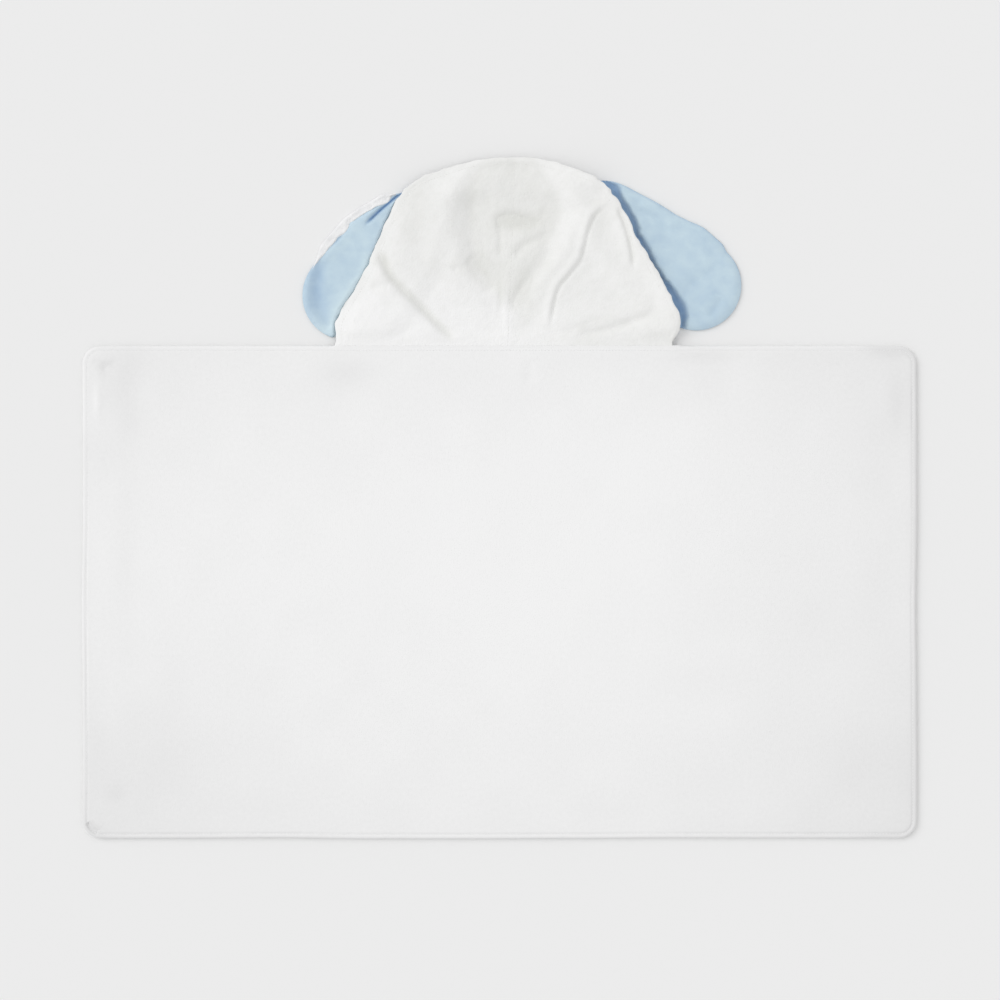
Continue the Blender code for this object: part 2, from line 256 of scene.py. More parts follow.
def resampled(path, spacing):
    """The same path with points at an even spacing."""
    length = travelled_along(path)[-1]
    return points_at(path, np.linspace(0, length, int(length / spacing) + 1))


# Meshes


def mesh_object(name, verts, faces):
    """A smooth closed mesh whose faces point out, with a map that holds the cloth's places in metres."""
    mesh = bpy.data.meshes.new(name)
    mesh.from_pydata(verts.tolist(), [], faces)
    bm = bmesh.new()
    bm.from_mesh(mesh)
    bmesh.ops.remove_doubles(bm, verts=bm.verts, dist=MERGED)
    bmesh.ops.dissolve_degenerate(bm, edges=bm.edges, dist=SLIVER)
    bmesh.ops.recalc_face_normals(bm, faces=bm.faces)
    cloth_map = bm.loops.layers.uv.new("cloth")
    for face in bm.faces:
        for loop in face.loops:
            loop[cloth_map].uv = loop.vert.co.xy
    bm.to_mesh(mesh)
    bm.free()
    mesh.shade_smooth()
    piece = bpy.data.objects.new(name, mesh)
    bpy.context.scene.collection.objects.link(piece)
    return piece


def shell(name, x, y, top, bottom):
    """A closed sheet over a grid of places, between a top and a bottom height at each."""
    index = np.arange(x.size).reshape(x.shape)
    layers = [np.stack([x, y, np.broadcast_to(height, x.shape)], -1) for height in (top, bottom)]
    corners = (index[:-1, :-1], index[:-1, 1:], index[1:, 1:], index[1:, :-1])
    upper = np.stack(corners, -1).reshape(-1, 4)
    rim = np.concatenate([index[0, :-1], index[:-1, -1], index[-1, :0:-1], index[:0:-1, 0]])
    after = np.roll(rim, -1)
    walls = np.stack([rim, rim + x.size, after + x.size, after], -1)
    faces = np.concatenate([upper, upper[:, ::-1] + x.size, walls])
    return mesh_object(name, np.reshape(layers, (-1, 3)), faces.tolist())


def stitches(name, path, lift, length=0.0026, gap=0.0009, radius=0.00034):
    """Separate stitches that lie along a path, each a small arched bead."""
    turn = np.linspace(0, math.tau, STITCH_SIDES, endpoint=False)
    along = length * np.linspace(0, 1, STITCH_RINGS)
    arch = np.sin(np.linspace(0, math.pi, STITCH_RINGS))
    verts, faces = [], []
    for number in range(int(travelled_along(path)[-1] / (length + gap))):
        middle = points_at(path, number * (length + gap) + along)
        run = middle[-1] - middle[0]
        aside = np.cross((0, 0, 1), run / np.linalg.norm(run))
        base = len(verts)
        for point, rise in zip(middle, arch):
            centre = point + np.array([0, 0, lift + radius * rise])
            size = radius * (STITCH_ENDS + (1 - STITCH_ENDS) * rise)
            for angle in turn:
                out = aside * math.cos(angle) + np.array([0, 0, math.sin(angle)])
                verts.append(centre + out * size)
        for ring in range(base, len(verts) - STITCH_SIDES, STITCH_SIDES):
            for side in range(STITCH_SIDES):
                a, b = ring + side, ring + (side + 1) % STITCH_SIDES
                faces.append((a, b, b + STITCH_SIDES, a + STITCH_SIDES))
        faces.append(tuple(reversed(range(base, base + STITCH_SIDES))))
        faces.append(tuple(range(len(verts) - STITCH_SIDES, len(verts))))
    return mesh_object(name, np.array(verts), faces)


def set_painted_shade(piece, painted_shade_and_tone):
    """Stores on each point of a cloth how far its colour goes from its shade colour, 0, to its full colour,
    1: painted shade and light, with some random unevenness.
    """
    places = np.empty(len(piece.data.vertices) * 3, np.float32)
    piece.data.vertices.foreach_get("co", places)
    x, y, _ = places.reshape(-1, 3).T.astype(float)
    stored = piece.data.attributes.new("painted_shade_and_tone", "FLOAT", "POINT")
    stored.data.foreach_set("value", np.clip(painted_shade_and_tone(x, y), 0, 1).astype(np.float32))


def even_tone(x, y):
    """A cloth that is much the same all over."""
    return 0.75 + 0.15 * swell(x, y, 0.06, 54)


def dress(piece, material, body, replaced, slot_name):
    """Gives a piece its material and its part in the frame. A piece given no body is left unattached."""
    piece.data.materials.append(material)
    if body:
        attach(piece, body)
    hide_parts(replaced)


def lay_cloth(name, places, heights, painted_shade_and_tone, *finish):
    """A cloth over a grid of places, from its top to its bottom height, with its painted shade and its
    finish.
    """
    piece = shell(name, *places, *heights)
    set_painted_shade(piece, painted_shade_and_tone)
    dress(piece, *finish)
    return piece


# Materials


def shader_input(tree, name):
    return tree.nodes["Principled BSDF"].inputs[name]


def new_material(name, colour, roughness, sheen=0.0):
    """A material, and the node tree in which its pattern is made."""
    material = bpy.data.materials.new(name)
    material.use_nodes = True
    tree = material.node_tree
    shader_input(tree, "Base Color").default_value = (*colour, 1.0)
    shader_input(tree, "Roughness").default_value = roughness
    shader_input(tree, "Sheen Weight").default_value = sheen
    shader_input(tree, "Sheen Roughness").default_value = 0.6
    shader_input(tree, "Specular IOR Level").default_value = 0.15
    return material, tree


def cloth_places(tree):
    """The cloth's own map, in metres of flat cloth."""
    source = tree.nodes.new("ShaderNodeUVMap")
    source.uv_map = "cloth"
    return source.outputs["UV"]


def object_places(tree):
    """Object coordinates, for the frame's own pieces, which carry no cloth map."""
    return tree.nodes.new("ShaderNodeTexCoord").outputs["Object"]


def noise_at(tree, places, size, detail=2.0):
    """A cloudy pattern whose patches are about size across."""
    noise = tree.nodes.new("ShaderNodeTexNoise")
    noise.inputs["Scale"].default_value = 1 / size
    noise.inputs["Detail"].default_value = detail
    tree.links.new(places, noise.inputs["Vector"])
    return noise.outputs["Fac"]


def worked_out(tree, operation, *values, clamp=False):
    """The result of a Math node. Each of its values is a number or another node's output."""
    node = tree.nodes.new("ShaderNodeMath")
    node.operation = operation
    node.use_clamp = clamp
    for socket, value in zip(node.inputs, values):
        if isinstance(value, float):
            socket.default_value = value
        else:
            tree.links.new(value, socket)
    return node.outputs[0]


def tint(tree, uneven, share, shade, colour):
    """Colours the cloth between its shade colour and its full colour by the stored painted shade, made uneven
    by a share of a pattern.
    """
    painted_shade_and_tone = tree.nodes.new("ShaderNodeAttribute")
    painted_shade_and_tone.attribute_name = "painted_shade_and_tone"
    centred = worked_out(tree, "SUBTRACT", uneven, 0.5)
    amount = worked_out(tree, "MULTIPLY_ADD", centred, share, painted_shade_and_tone.outputs["Fac"], clamp=True)
    mix = tree.nodes.new("ShaderNodeMix")
    mix.data_type = "RGBA"
    mix.inputs["A"].default_value = (*shade, 1.0)
    mix.inputs["B"].default_value = (*colour, 1.0)
    tree.links.new(amount, mix.inputs["Factor"])
    tree.links.new(mix.outputs["Result"], shader_input(tree, "Base Color"))


def bump(tree, height, distance, strength):
    """Lets a pattern raise the surface by up to distance."""
    node = tree.nodes.new("ShaderNodeBump")
    node.inputs["Distance"].default_value = distance
    node.inputs["Strength"].default_value = strength
    tree.links.new(height, node.inputs["Height"])
    tree.links.new(node.outputs["Normal"], shader_input(tree, "Normal"))


def terry(name, colour, shade, loop, depth):
    """Towelling: a pile of small round loops, a little uneven in height and colour."""
    material, tree = new_material(name, colour, 0.95, sheen=0.25)
    places = cloth_places(tree)
    loops = tree.nodes.new("ShaderNodeTexVoronoi")
    loops.feature = "SMOOTH_F1"
    loops.inputs["Scale"].default_value = 1 / loop
    loops.inputs["Smoothness"].default_value = 0.35
    loops.inputs["Randomness"].default_value = 0.9
    tree.links.new(places, loops.inputs["Vector"])
    rounded = worked_out(tree, "SUBTRACT", 1.0, loops.outputs["Distance"])
    uneven = noise_at(tree, places, loop * 4, detail=3.0)
    bump(tree, worked_out(tree, "MULTIPLY_ADD", uneven, 0.8, rounded), depth, 0.8)
    tint(tree, uneven, 0.35, shade, colour)
    return material


def woven(name, colour, shade, thread):
    """Plain-woven cotton: warp and weft ridges that cross, with slubs in the colour."""
    material, tree = new_material(name, colour, 0.85, sheen=0.15)
    places = cloth_places(tree)
    ridges = []
    for direction in ("X", "Y"):
        wave = tree.nodes.new("ShaderNodeTexWave")
        wave.bands_direction = direction
        wave.inputs["Scale"].default_value = math.tau / (20 * thread)
        wave.inputs["Distortion"].default_value = 0.6
        wave.inputs["Detail"].default_value = 1.0
        tree.links.new(places, wave.inputs["Vector"])
        ridges.append(wave.outputs["Fac"])
    bump(tree, worked_out(tree, "MAXIMUM", *ridges), thread * 0.4, 0.5)
    tint(tree, noise_at(tree, places, 0.012, detail=5.0), 0.30, shade, colour)
    return material


def spun_thread(name, colour, places_of=cloth_places, strand=0.0004):
    """Thread whose twisted strands show."""
    material, tree = new_material(name, colour, 0.6)
    bump(tree, noise_at(tree, places_of(tree), strand), 0.0001, 0.6)
    return material


def satin(name, colour):
    """A shiny ribbon with fine ribs."""
    material, tree = new_material(name, colour, 0.35)
    ribs = tree.nodes.new("ShaderNodeTexWave")
    ribs.inputs["Scale"].default_value = 160.0
    tree.links.new(object_places(tree), ribs.inputs["Vector"])
    bump(tree, ribs.outputs["Fac"], 0.00005, 0.4)
    return material


# The body


def body_distance(x, y, corner):
    """How far inside the body's rounded outline a place is."""
    out_x = np.abs(x) - (BODY_HALF - corner)
    out_y = np.abs(y - BODY_MIDDLE) - (BODY_HALF_LENGTH - corner)
    outside = np.hypot(np.maximum(out_x, 0), np.maximum(out_y, 0))
    return corner - outside - np.minimum(np.maximum(out_x, out_y), 0)


def body_grid(columns, rows, corner, share):
    """A grid of places that fills the body's outline, close together at its edges."""
    across = (gathered(columns, share) * 2 - 1) * BODY_HALF
    x, y = np.meshgrid(across, (gathered(rows, share) * 2 - 1) * BODY_HALF_LENGTH)
    a = np.clip((np.abs(x) - BODY_HALF + corner) / corner, 0, 1)
    b = np.clip((np.abs(y) - BODY_HALF_LENGTH + corner) / corner, 0, 1)
    shift_x = corner * (a * np.sqrt(1 - b**2 / 2) - a)
    shift_y = corner * (b * np.sqrt(1 - a**2 / 2) - b)
    return x + np.sign(x) * shift_x, y + np.sign(y) * shift_y + BODY_MIDDLE


def edge_wander(x, y):
    """The cut edge isn't quite straight: how far the cloth's places move at its border."""
    near_side = (np.abs(x) / BODY_HALF) ** 12
    near_end = np.clip((BODY_MIDDLE - y) / (BODY_MIDDLE - FACE_LOW.y), 0, 1) ** 12
    to_hood = smooth((y - FACE_HIGH.y) / 0.004 + 1) * at_neck(x)
    move_x = EDGE_WANDER * swell(y, 0.0, 0.09, 5) * near_side
    move_y = EDGE_WANDER * swell(x, 0.0, 0.11, 6) * near_end
    return move_x, move_y + (NECK.y - FACE_HIGH.y) * to_hood


def at_neck(x):
    """1 where the hood is sewn on, and 0 beside it."""
    return smooth((HOOD_BASE_HALF + 0.002 - np.abs(x - NECK.x)) / 0.006)


# Soft hollows and rises of the laid body: place, half size across and up, and strength, which also sets their
# painted shade and light on the face
BODY_HOLLOWS = (
    ((-0.403, 0.113), (0.017, 0.060), -0.42),
    ((-0.405, -0.070), (0.014, 0.090), -0.24),
    ((-0.430, 0.143), (0.008, 0.010), -0.60),
    ((-0.441, 0.106), (0.005, 0.018), 0.50),
    ((-0.367, -0.293), (0.075, 0.055), -0.30),
    ((-0.416, -0.326), (0.012, 0.010), -0.30),
    ((-0.161, 0.133), (0.030, 0.017), -0.55),
    ((0.222, 0.156), (0.034, 0.010), -0.45),
    ((0.235, 0.130), (0.020, 0.030), -0.20),
    ((0.330, -0.120), (0.060, 0.080), -0.15),
    ((0.405, -0.290), (0.050, 0.045), -0.30),
    ((0.441, 0.100), (0.010, 0.034), -0.50),
    ((0.425, 0.157), (0.022, 0.007), -0.40),
    ((0.020, -0.060), (0.110, 0.070), 0.20),
    ((0.150, 0.050), (0.120, 0.050), 0.10),
)

# The curled lower left corner, which also gets a painted shadow on the face
CORNER_CURL = ((-0.4520, -0.3555), (-0.4460, -0.3620), (-0.4395, -0.3665))


def body_swell(x, y, inside):
    """The soft unevenness of a laid towel: broad swells, a lifted corner and a few slack folds."""
    height = 0.0016 * swell(x, y, 0.17, 1) + 0.0006 * swell(x, y, 0.07, 2) + 0.0002 * swell(x, y, 0.024, 3)
    height += 0.0032 * patches(x, y, BODY_HOLLOWS)
    corner_x, corner_y = FACE_LOW.x, FACE_HIGH.y
    height += 0.0036 * bell(np.hypot(x - corner_x, y - corner_y), 0.045)
    pucker = [(corner_x + 0.010, corner_y - 0.014), (corner_x + 0.030, corner_y - 0.026)]
    height += crease(x, y, pucker, 0.0024, 0.0045, 0.0014)
    below_neck = [(NECK.x + 0.025, NECK.y - 0.012), (NECK.x + 0.024, NECK.y - 0.045)]
    height += crease(x, y, below_neck, 0.0012, 0.005)
    return height * smooth(inside / 0.03) + crease(x, y, CORNER_CURL, 0.0028, 0.0024, 0.0004, fade=0.1)


def groove_depth(x, y, inside, settings):
    """The topstitch sinks most at the right and lower edges, and hardly at the upper one."""
    right = smooth((x - BODY_HALF + 0.03) / 0.02)
    low = smooth((FACE_LOW.y + 0.03 - y) / 0.02)
    low_left = smooth((-x - BODY_HALF + 0.03) / 0.02) * smooth((0.02 - y) / 0.08)
    strength = 0.18 + 0.82 * np.maximum(np.maximum(0.40 * right, 0.8 * low), 0.35 * low_left)
    uneven = 1 + 0.5 * swell(x, y, 0.045, 9) + 0.3 * swell(x, y, 0.007, 8)
    return settings.groove * strength * uneven * bell(inside - settings.stitch_inset, 0.0014)


def body_top(x, y, inside, settings):
    """Height of the body's face, which runs level into the hood at the neck."""
    neck = at_neck(x) * smooth((y - FACE_HIGH.y) / 0.02 + 1)
    rolled = np.maximum(roundness(inside, settings.edge_round), 0.97 * neck)
    top = LAYER_MEET + LAYER_GAP + (FACE_HIGH.z - LAYER_MEET) * rolled
    return top + body_swell(x, y, inside) - groove_depth(x, y, inside, settings) * (1 - 0.8 * neck)


def body_painted_shade(x, y):
    """Painted shade and light on the face: whitest in the middle, greyer towards the right and the corners,
    along its right and lower left edges, in the curled corner and in its hollows, with some random
    unevenness.
    """
    right, left = np.maximum(x, 0) / 0.42, np.maximum(-x, 0) / 0.42
    up = (y + 0.06) / 0.24
    painted_shade_and_tone = 1 - 0.42 * right**2 - 0.16 * left**2 - 0.20 * up**2 - 0.10 * left**2 * up**2
    # Painted shade along the right edge and the lower left edge
    border = 0.55 * smooth((x - 0.38) / 0.05) + 0.30 * smooth((-0.42 - x) / 0.02) * smooth((0.10 - y) / 0.05)
    painted_shade_and_tone -= border * bell(body_distance(x, y, BODY_CORNER), 0.0060)
    # A painted shadow in the curled corner
    painted_shade_and_tone += crease(x, y, CORNER_CURL, 1.8, 0.0042, fade=0.1)
    # Painted shade and light from the hollows and rises, and some random unevenness
    return painted_shade_and_tone + 0.5 * patches(x, y, BODY_HOLLOWS) + 0.05 * swell(x, y, 0.035, 51)


def lay_on_body(name, places, heights, painted_shade_and_tone, *finish):
    """One of the body's two cloths, with its uneven cut edge."""
    moved = [place + move for place, move in zip(places, edge_wander(*places))]
    piece = lay_cloth(name, moved, heights, painted_shade_and_tone, *finish)


def make_body(settings):
    """The smooth face, and the terry back under it."""
    x, y = body_grid(340, 200, settings.corner, 0.8)
    top = body_top(x, y, body_distance(x, y, settings.corner), settings)
    heights = (top, LAYER_MEET + LAYER_GAP / 2)
    knit = terry("body_knit", settings.colour, settings.shade, 0.0011, 0.00018)
    finish = (knit, "towel", "body_face_panel", "white_knit")
    lay_on_body("body_front_cloth", (x, y), heights, body_painted_shade, *finish)
    x, y = body_grid(220, 130, settings.corner, 0.85)
    rolled = roundness(body_distance(x, y, settings.corner), settings.edge_round)
    heights = (LAYER_MEET - LAYER_GAP / 2, (LAYER_MEET - LAYER_GAP) * (1 - rolled))
    looped = terry("body_terry", settings.back_colour, settings.shade, 0.0022, 0.0007)
    finish = (looped, "towel", "body_back_panel", "white_terry")
    lay_on_body("body_back_cloth", (x, y), heights, even_tone, *finish)


def outline_path(inset, corner):
    """Points round the body at an inset from its edge, closed."""
    low, high = FACE_LOW.y + inset, FACE_HIGH.y - inset
    half, radius = BODY_HALF - inset, corner - inset
    points = []
    for turn, (sx, sy) in enumerate(((1, 1), (-1, 1), (-1, -1), (1, -1))):
        centre = (sx * (half - radius), (high - radius) if sy > 0 else (low + radius))
        for angle in np.linspace(turn, turn + 1, 9) * math.pi / 2:
            points.append((centre[0] + radius * math.cos(angle), centre[1] + radius * math.sin(angle)))
    points.append(points[0])
    return resampled(np.array(points), STITCH_SPACING)


def make_body_stitches(settings):
    """The topstitch round the body."""
    x, y = outline_path(settings.stitch_inset, settings.corner).T
    wander_x, wander_y = edge_wander(x, y)
    height = body_top(x, y, np.full(x.shape, settings.stitch_inset), settings)
    path = np.stack([x + wander_x, y + wander_y, height], -1)
    piece = stitches("body_edge_stitches", path, -0.0002)
    thread = spun_thread("sewing_thread", settings.thread_colour)
    dress(piece, thread, "towel", "body_edge_stitching", "white_thread")


# The ears


def ear_half_width(place):
    """Half of the ear's width as cut, at a distance along it."""
    place = np.clip(place / EAR_REACH, 0, 1)
    return EAR_ROUND * np.sin(math.pi / 2 * place**EAR_FULLNESS)


def ear_axes(side):
    """The ear's pointed end, its direction along, and its outward direction across, in the plane."""
    low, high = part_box(f"ear_{side}_lining")
    sign = -1 if side == "left" else 1
    end_x = low[0] + EAR_ROUND if side == "left" else high[0] - EAR_ROUND
    end = np.array([end_x, low[1] + EAR_ROUND])
    tack = np.array(JOINTS[f"ear_{side}_swing"]["pos_m"][:2])
    along = (end - tack) / np.linalg.norm(end - tack)
    outward = np.array([-along[1], along[0]]) * sign
    return end - along * EAR_REACH, along, outward


def within_ear(side, x, y):
    """How far along the ear a place is, and how far outwards from its middle line."""
    base, along, outward = ear_axes(side)
    place = (x - base[0]) * along[0] + (y - base[1]) * along[1]
    aside = (x - base[0]) * outward[0] + (y - base[1]) * outward[1]
    return place, aside


def ear_bulge(side, place):
    """How far the ear's outer edge lies outside its cut outline, along the ear."""
    if side == "left":
        return 0.0078 * between(place, 0.045, 0.055, EAR_REACH, 0.032)
    drawn_in = 0.0042 * between(place, 0.010, 0.040, 0.116, 0.030)
    return 0.0032 * between(place, 0.105, 0.020, EAR_REACH, 0.012) - drawn_in


def ear_inside(side, x, y):
    """How far inside the ear's outline a place is, negative outside."""
    place, aside = within_ear(side, x, y)
    half = ear_half_width(place) + ear_bulge(side, place) * (aside > 0)
    tapered = np.minimum(half - np.abs(aside), place - EAR_START * 0.5)
    return np.where(place > EAR_REACH, EAR_ROUND - np.hypot(place - EAR_REACH, aside), tapered)


def bare_strip(place, width):
    """How much of the white back shows at the outer edge: an uneven strip that ends at both sides."""
    uneven = 0.30 * swell(place, 0.0, 0.011, 61) + 0.2 * swell(place, 0.0, 0.005, 62)
    return width * between(place, 0.026, 0.014, 0.158, 0.030) * (1 + uneven)


def turned_in(side, place):
    """Near its point the left ear's outer edge is turned in, so that it stays under the hood."""
    return (0.0120 if side == "left" else 0.0) * smooth((0.048 - place) / 0.014)


def clear_of_neck(side, x, y):
    """The part of the left ear that the hood hides is raised to stay just clear of the neck."""
    if side == "right":
        return y
    lowest = NECK.y + (NECK_BLEND + 0.0003) * smooth((x - NECK.x + 0.1945) / 0.005)
    ease = 0.0030
    return lowest + ease * np.log1p(np.exp((y - lowest) / ease))


def ear_grid(side, inset, strip):
    """Places that fill the ear, set in from its outline, and more so along its outer edge."""
    base, along, outward = ear_axes(side)
    first = EAR_START + inset
    straight = first + (EAR_REACH - first) * np.linspace(0, 1, EAR_ROWS) ** 1.15
    turn = np.linspace(0, math.pi / 2 * 0.985, EAR_END_ROWS)[1:]
    place = np.concatenate([straight, EAR_REACH + (EAR_ROUND - inset) * np.sin(turn)])[:, None]
    half = np.maximum(ear_half_width(straight) - inset, 0.001)
    half = np.concatenate([half, (EAR_ROUND - inset) * np.cos(turn)])[:, None]
    bare = np.minimum(np.maximum(bare_strip(place, strip), turned_in(side, place)), half)
    half_out = half + ear_bulge(side, place) - bare
    aside = -half + (half + half_out) * gathered(EAR_COLUMNS, 0.9)[None, :]
    x = base[0] + along[0] * place + outward[0] * aside
    y = base[1] + along[1] * place + outward[1] * aside
    inside = np.minimum(ear_inside(side, x, y) - inset, half_out - aside)
    inside = np.minimum(inside, place - first)
    raised = clear_of_neck(side, x, y)
    return x, raised, np.maximum(inside - (raised - y), 0)


# Creases of the ears: points from the middle of the neck (across, up), depth, width, heap on the left; their
# depth also sets painted shade in the blue
EAR_CREASES = {
    "left": (
        (((-0.158, 0.131), (-0.138, 0.150), (-0.116, 0.168), (-0.098, 0.181)), 0.0040, 0.0021, 0.0016),
        (((-0.192, 0.014), (-0.204, 0.036), (-0.209, 0.066), (-0.203, 0.098)), 0.0026, 0.0075, 0.0006),
        (((-0.186, 0.012), (-0.180, 0.030), (-0.168, 0.052)), 0.0014, 0.0050, 0.0006),
        (((-0.200, 0.108), (-0.190, 0.113), (-0.182, 0.121)), 0.0022, 0.0018, 0.0008),
    ),
    "right": (
        (((0.222, 0.030), (0.228, 0.042), (0.236, 0.052)), 0.0007, 0.0040, 0.0006),
        (((0.190, 0.050), (0.205, 0.070), (0.232, 0.086)), 0.0006, 0.0060, 0.0005),
        (((0.140, 0.150), (0.160, 0.140), (0.180, 0.122)), 0.0010, 0.0040, 0.0006),
    ),
}


def past_hood(side, x, y):
    """0 where the ear lies under the hood, and 1 where it is free of it."""
    outside = -hood_inside(x, y)
    if side == "left":
        return smooth(outside / 0.0025)
    up = y - NECK.y
    ragged = 0.0024 * swell(x, y, 0.014, 63) + 0.0014 * swell(x, y, 0.006, 64)
    ragged += 0.0034 * smooth((up - 0.135) / 0.020) + 0.0022 * smooth((0.080 - up) / 0.030)
    return smooth((outside - 0.0022 - ragged) / 0.0066)


def ear_front_top(side, x, y, inside, settings):
    """Height of the ear's cotton front."""
    free = past_hood(side, x, y)
    seed, sunk = (22, 0.0) if side == "left" else (24, 0.0018)
    level = EAR_PRESSED - sunk * smooth(-hood_inside(x, y) / 0.002)
    level += (settings.puff + EAR_PRESSED - level) * free
    top = EAR_FRONT_RIM + level * roundness(inside, 0.009)
    top += 0.0012 * free * swell(x, y, 0.05, seed) * smooth(inside / 0.012)
    top += 0.0003 * free * swell(x, y, 0.016, seed + 4) * smooth(inside / 0.006)
    folds = creases(x - NECK.x, y - NECK.y, EAR_CREASES[side])
    return np.maximum(top + free * folds * smooth(inside / 0.005), EAR_FRONT_LEAST)


def strip_tone(side):
    """Greyer, by an uneven amount, within about a centimetre of the ear's border, and white elsewhere."""

    def painted_shade_and_tone(x, y):
        dark = 0.30 + 0.22 * swell(x, y, 0.007, 71) + 0.12 * swell(x, y, 0.003, 72)
        return 1 - bell(ear_inside(side, x, y), 0.010) * np.clip(dark, 0, 0.7)

    return painted_shade_and_tone


def ear_painted_shade(side):
    """Painted shade and light on the ear's blue: deeper in its folds, along the pleat and in a crescent by
    the left ear's outer edge, in a painted shadow by the hood's rim and along the upper edge at the right,
    lighter by the hood at the left, and paler at its lower end.
    """

    def painted_shade_and_tone(x, y):
        across, up = x - NECK.x, y - NECK.y
        amount = 0.85 + 0.04 * swell(x, y, 0.03, 65) + 0.02 * swell(x, y, 0.009, 66)
        # Painted shade in the creases
        amount += crease_painted_shade(across, up, EAR_CREASES[side], 50)
        if side == "left":
            # A painted dark line along the pleat
            pleat = EAR_CREASES[side][0][0]
            amount += crease(across, up, pleat, 0.50, 0.0013, fade=CREASE_FADE)
            # Painted light by the hood's edge at the left
            amount += 0.20 * bell(hood_inside(x, y), 0.009) * smooth((0.110 - up) / 0.030)
            amount += 0.16 * smooth((0.030 - up) / 0.022)
            # Painted shade in a crescent by the outer edge
            return amount - 0.15 * bell(across + 0.213, 0.013) * bell(up - 0.066, 0.036)
        # Painted shade along the right ear's upper edge, and a painted shadow of the hood's rim
        edge = bell(ear_inside(side, x, y), 0.0020) * smooth((up - 0.060) / 0.03)
        painted_rim_shadow = (1 - past_hood(side, x, y)) * smooth(1 - hood_inside(x, y) / 0.009)
        return amount - 0.01 - 0.50 * painted_rim_shadow - 0.16 * edge

    return painted_shade_and_tone


def ear_back_heights(side, x, y, inside, strip):
    """Heights of the ear's terry back, which rolls up where it shows beside the cotton."""
    place, aside = within_ear(side, x, y)
    bare = bare_strip(place, strip) - ear_bulge(side, place)
    in_strip = smooth((aside - ear_half_width(place) + bare + 0.003) / 0.002) * (strip > 0)
    free = smooth(-hood_inside(x, y) / 0.005)
    wrinkles = 0.0011 * swell(x, y, 0.007, 67) + 0.0006 * swell(x, y, 0.0035, 68)
    roll = (0.0042 + wrinkles) * roundness(inside, 0.0032) * in_strip * free
    return EAR_BACK_TOP + roll, 0.0005 * (1 - roundness(inside, 0.002))


def ear_seam_path(side, strip, settings):
    """A path just inside the cotton's border, open at the pointed end."""
    inset = 0.0012
    x, y, inside = ear_grid(side, inset, strip)
    points = np.stack([x, y, ear_front_top(side, x, y, inside + inset, settings)], -1)
    return resampled(np.concatenate([points[:, 0], points[::-1, -1]]), STITCH_SPACING)


def make_ear(side, settings):
    """A white back, a blue front on it, and the stitches that join them."""
    ear = f"ear_{side}"
    strip = settings.white_strip if side == "left" else 0.0
    x, y, inside = ear_grid(side, 0.0007, 0.0)
    heights = ear_back_heights(side, x, y, inside, strip)
    white = terry(f"{ear}_terry", settings.back_colour, settings.back_shade, 0.0018, 0.0006)
    finish = (white, ear, f"{ear}_back", "white_terry")
    back = lay_cloth(f"{ear}_white_back", (x, y), heights, strip_tone(side), *finish)

    x, y, inside = ear_grid(side, 0.0, strip)
    heights = (ear_front_top(side, x, y, inside, settings), EAR_FRONT_UNDER)
    blue = woven(f"{ear}_cotton", settings.colour, settings.shade, 0.0005)
    finish = (blue, ear, f"{ear}_lining", "blue_cotton")
    front = lay_cloth(f"{ear}_blue_front", (x, y), heights, ear_painted_shade(side), *finish)

    path = ear_seam_path(side, strip, settings)
    seam = stitches(f"{ear}_seam_stitches", path, -0.00005, length=0.0022, gap=0.0014, radius=0.0002)
    thread = spun_thread(f"{ear}_thread", settings.thread_colour)
    dress(seam, thread, ear, f"{ear}_seam", "white_thread")


# The hood


def side_bow(share, at_right):
    """How far the hood's side bows out of a straight line, at a share of its height."""
    left = 0.0095 * (smooth(share / 0.16) - smooth((share - 0.15) / 0.36))
    right = 0.0114 * smooth(share / 0.20) * np.clip((0.70 - share) / 0.40, 0, 1)
    drawn_in = between(share, 0.76, 0.10, 1, 0.06)
    return np.where(at_right, right - 0.0034 * drawn_in, left - 0.0015 * drawn_in)


def crown_drop(across, up):
    """How far the crown's outline sinks below its arc towards the shoulders."""
    return 0.0024 * smooth((np.abs(across) - 0.035) / 0.040) * smooth((up - SHOULDER_RISE) / 0.012 + 1)


def shoulder_cut(across, up):
    """How far the rounded shoulders lie inside the corners of the sides and the crown."""
    away = np.hypot(np.abs(across) - SHOULDER_HALF, up - SHOULDER_RISE)
    return np.where(across > 0, 0.0062, 0.0042) * bell(away, 0.013)


def hood_inside(x, y):
    """How far inside the hood's outline a place is, negative outside."""
    across, up = np.abs(x - NECK.x), y - NECK.y
    run = np.array([SHOULDER_HALF - HOOD_BASE_HALF, SHOULDER_RISE])
    run /= np.linalg.norm(run)
    bow = side_bow(np.clip(up / SHOULDER_RISE, 0, 1), x > NECK.x)
    from_side = (HOOD_BASE_HALF + bow - across) * run[1] + up * run[0]
    from_crown = CROWN_RADIUS - np.hypot(across, up - (HOOD_HEIGHT - CROWN_RADIUS)) - crown_drop(across, up)
    inside = np.minimum(from_side, from_crown) - shoulder_cut(x - NECK.x, up)
    return np.where(up < -0.002, -0.1, inside)


def hood_underside(x, y):
    """Height that the hood's outer side clears: the ears and the rim, with the floor in the middle."""
    ears = np.maximum(ear_inside("left", x, y), ear_inside("right", x, y))
    beyond = np.minimum(hood_inside(x, y) - 0.030, -ears - 0.006)
    over_ears = (EAR_TOP + 0.0003) * smooth(1 - beyond / 0.024)
    return np.maximum(over_ears, 0.0022 * smooth(1 - (y - NECK.y) / 0.020))


